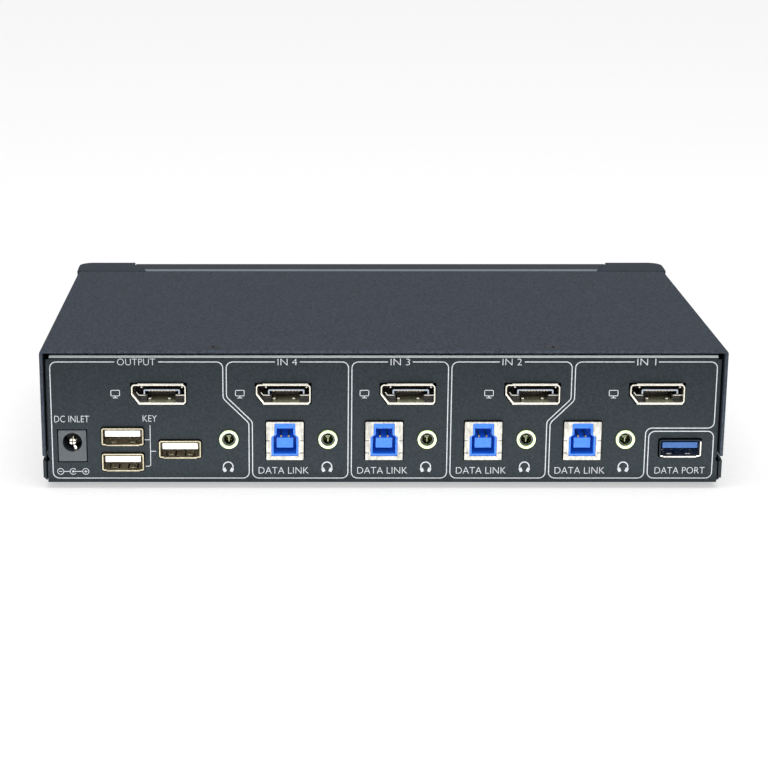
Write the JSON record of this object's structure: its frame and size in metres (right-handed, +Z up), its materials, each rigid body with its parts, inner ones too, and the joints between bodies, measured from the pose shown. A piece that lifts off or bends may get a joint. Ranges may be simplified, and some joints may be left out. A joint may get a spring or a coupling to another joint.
{
  "type": "kvm switch",
  "caption": "Low slate-grey desktop switch box with folded sheet-metal case, plastic front with push buttons, and rear rows of video, data, audio and power sockets.",
  "frame": {"origin": "centre of the footprint, on the surface the feet rest on", "axes": "+Z up, +X along the width, +Y towards the rear socket panel; the buttons face -Y"},
  "size_m": [0.2206, 0.132, 0.047],
  "materials": {
    "cover_paint": "fine-textured dark slate powder coat",
    "panel_paint": "satin dark grey powder coat",
    "bezel_plastic": "fine spark-textured dark slate moulding",
    "fascia_plastic": "satin black moulding",
    "button_plastic": "satin dark grey moulding",
    "foot_rubber": "matt black rubber",
    "screw_black": "black oxide",
    "stud_steel": "plated steel",
    "spacer_brass": "turned brass",
    "circuit_board": "green solder mask",
    "black_plastic": "moulded, satin",
    "white_plastic": "moulded, satin",
    "ribbon_film": "glossy film",
    "chip_resin": "moulded resin",
    "sink_aluminium": "black anodised",
    "capacitor_can": "drawn can",
    "shell_nickel": "bright nickel plate",
    "blue_plastic": "moulded, satin",
    "lime_plastic": "moulded, satin",
    "contact_gold": "gold flash",
    "light_pipe": "clear moulding"
  },
  "bodies": {
    "case": {"base_tray": "panel_paint", "top_cover": "cover_paint", "front_bezel": "bezel_plastic", "front_fascia": "fascia_plastic", "rubber_feet": "foot_rubber", "cover_screws": "screw_black", "bezel_screws": "screw_black", "board_studs": "stud_steel", "board_screws": "screw_black", "board_spacers": "spacer_brass", "main_board": "circuit_board", "video_board": "circuit_board", "front_board": "circuit_board", "front_board_screws": "screw_black", "link_plug": "black_plastic", "link_socket": "black_plastic", "ribbon_cable": "ribbon_film", "ribbon_sockets": "white_plastic", "video_chips": "chip_resin", "heat_sinks": "sink_aluminium", "main_chips": "chip_resin", "capacitors": "capacitor_can", "video_shell_1": "shell_nickel", "video_shell_2": "shell_nickel", "video_shell_3": "shell_nickel", "video_shell_4": "shell_nickel", "video_shell_5": "shell_nickel", "video_inserts": "black_plastic", "host_shell_1": "shell_nickel", "host_shell_2": "shell_nickel", "host_shell_3": "shell_nickel", "host_shell_4": "shell_nickel", "host_inserts": "blue_plastic", "pair_shell": "shell_nickel", "pair_insert": "white_plastic", "single_shell": "shell_nickel", "single_insert": "white_plastic", "fast_shell": "shell_nickel", "fast_insert": "blue_plastic", "audio_jack_1": "lime_plastic", "audio_jack_2": "lime_plastic", "audio_jack_3": "lime_plastic", "audio_jack_4": "lime_plastic", "audio_jack_5": "lime_plastic", "socket_contacts": "contact_gold", "power_jack": "black_plastic", "power_pin": "shell_nickel", "front_port_shells": "shell_nickel", "front_port_inserts": "white_plastic", "switch_bodies": "shell_nickel", "status_lights": "white_plastic", "light_pipes": "light_pipe"},
    "button_1": {"select_button_1": "button_plastic", "switch_plunger_1": "black_plastic"},
    "button_2": {"select_button_2": "button_plastic", "switch_plunger_2": "black_plastic"},
    "button_3": {"select_button_3": "button_plastic", "switch_plunger_3": "black_plastic"},
    "button_4": {"select_button_4": "button_plastic", "switch_plunger_4": "black_plastic"}
  },
  "joints": [
    {"name": "press_1", "type": "slide", "parent": "case", "child": "button_1", "axis": [0, 1, 0], "range_m": [0, 0.0005], "stiffness_N_per_m": 1500, "springref_m": -0.0005},
    {"name": "press_2", "type": "slide", "parent": "case", "child": "button_2", "axis": [0, 1, 0], "range_m": [0, 0.0005], "stiffness_N_per_m": 1500, "springref_m": -0.0005},
    {"name": "press_3", "type": "slide", "parent": "case", "child": "button_3", "axis": [0, 1, 0], "range_m": [0, 0.0005], "stiffness_N_per_m": 1500, "springref_m": -0.0005},
    {"name": "press_4", "type": "slide", "parent": "case", "child": "button_4", "axis": [0, 1, 0], "range_m": [0, 0.0005], "stiffness_N_per_m": 1500, "springref_m": -0.0005}
  ]
}
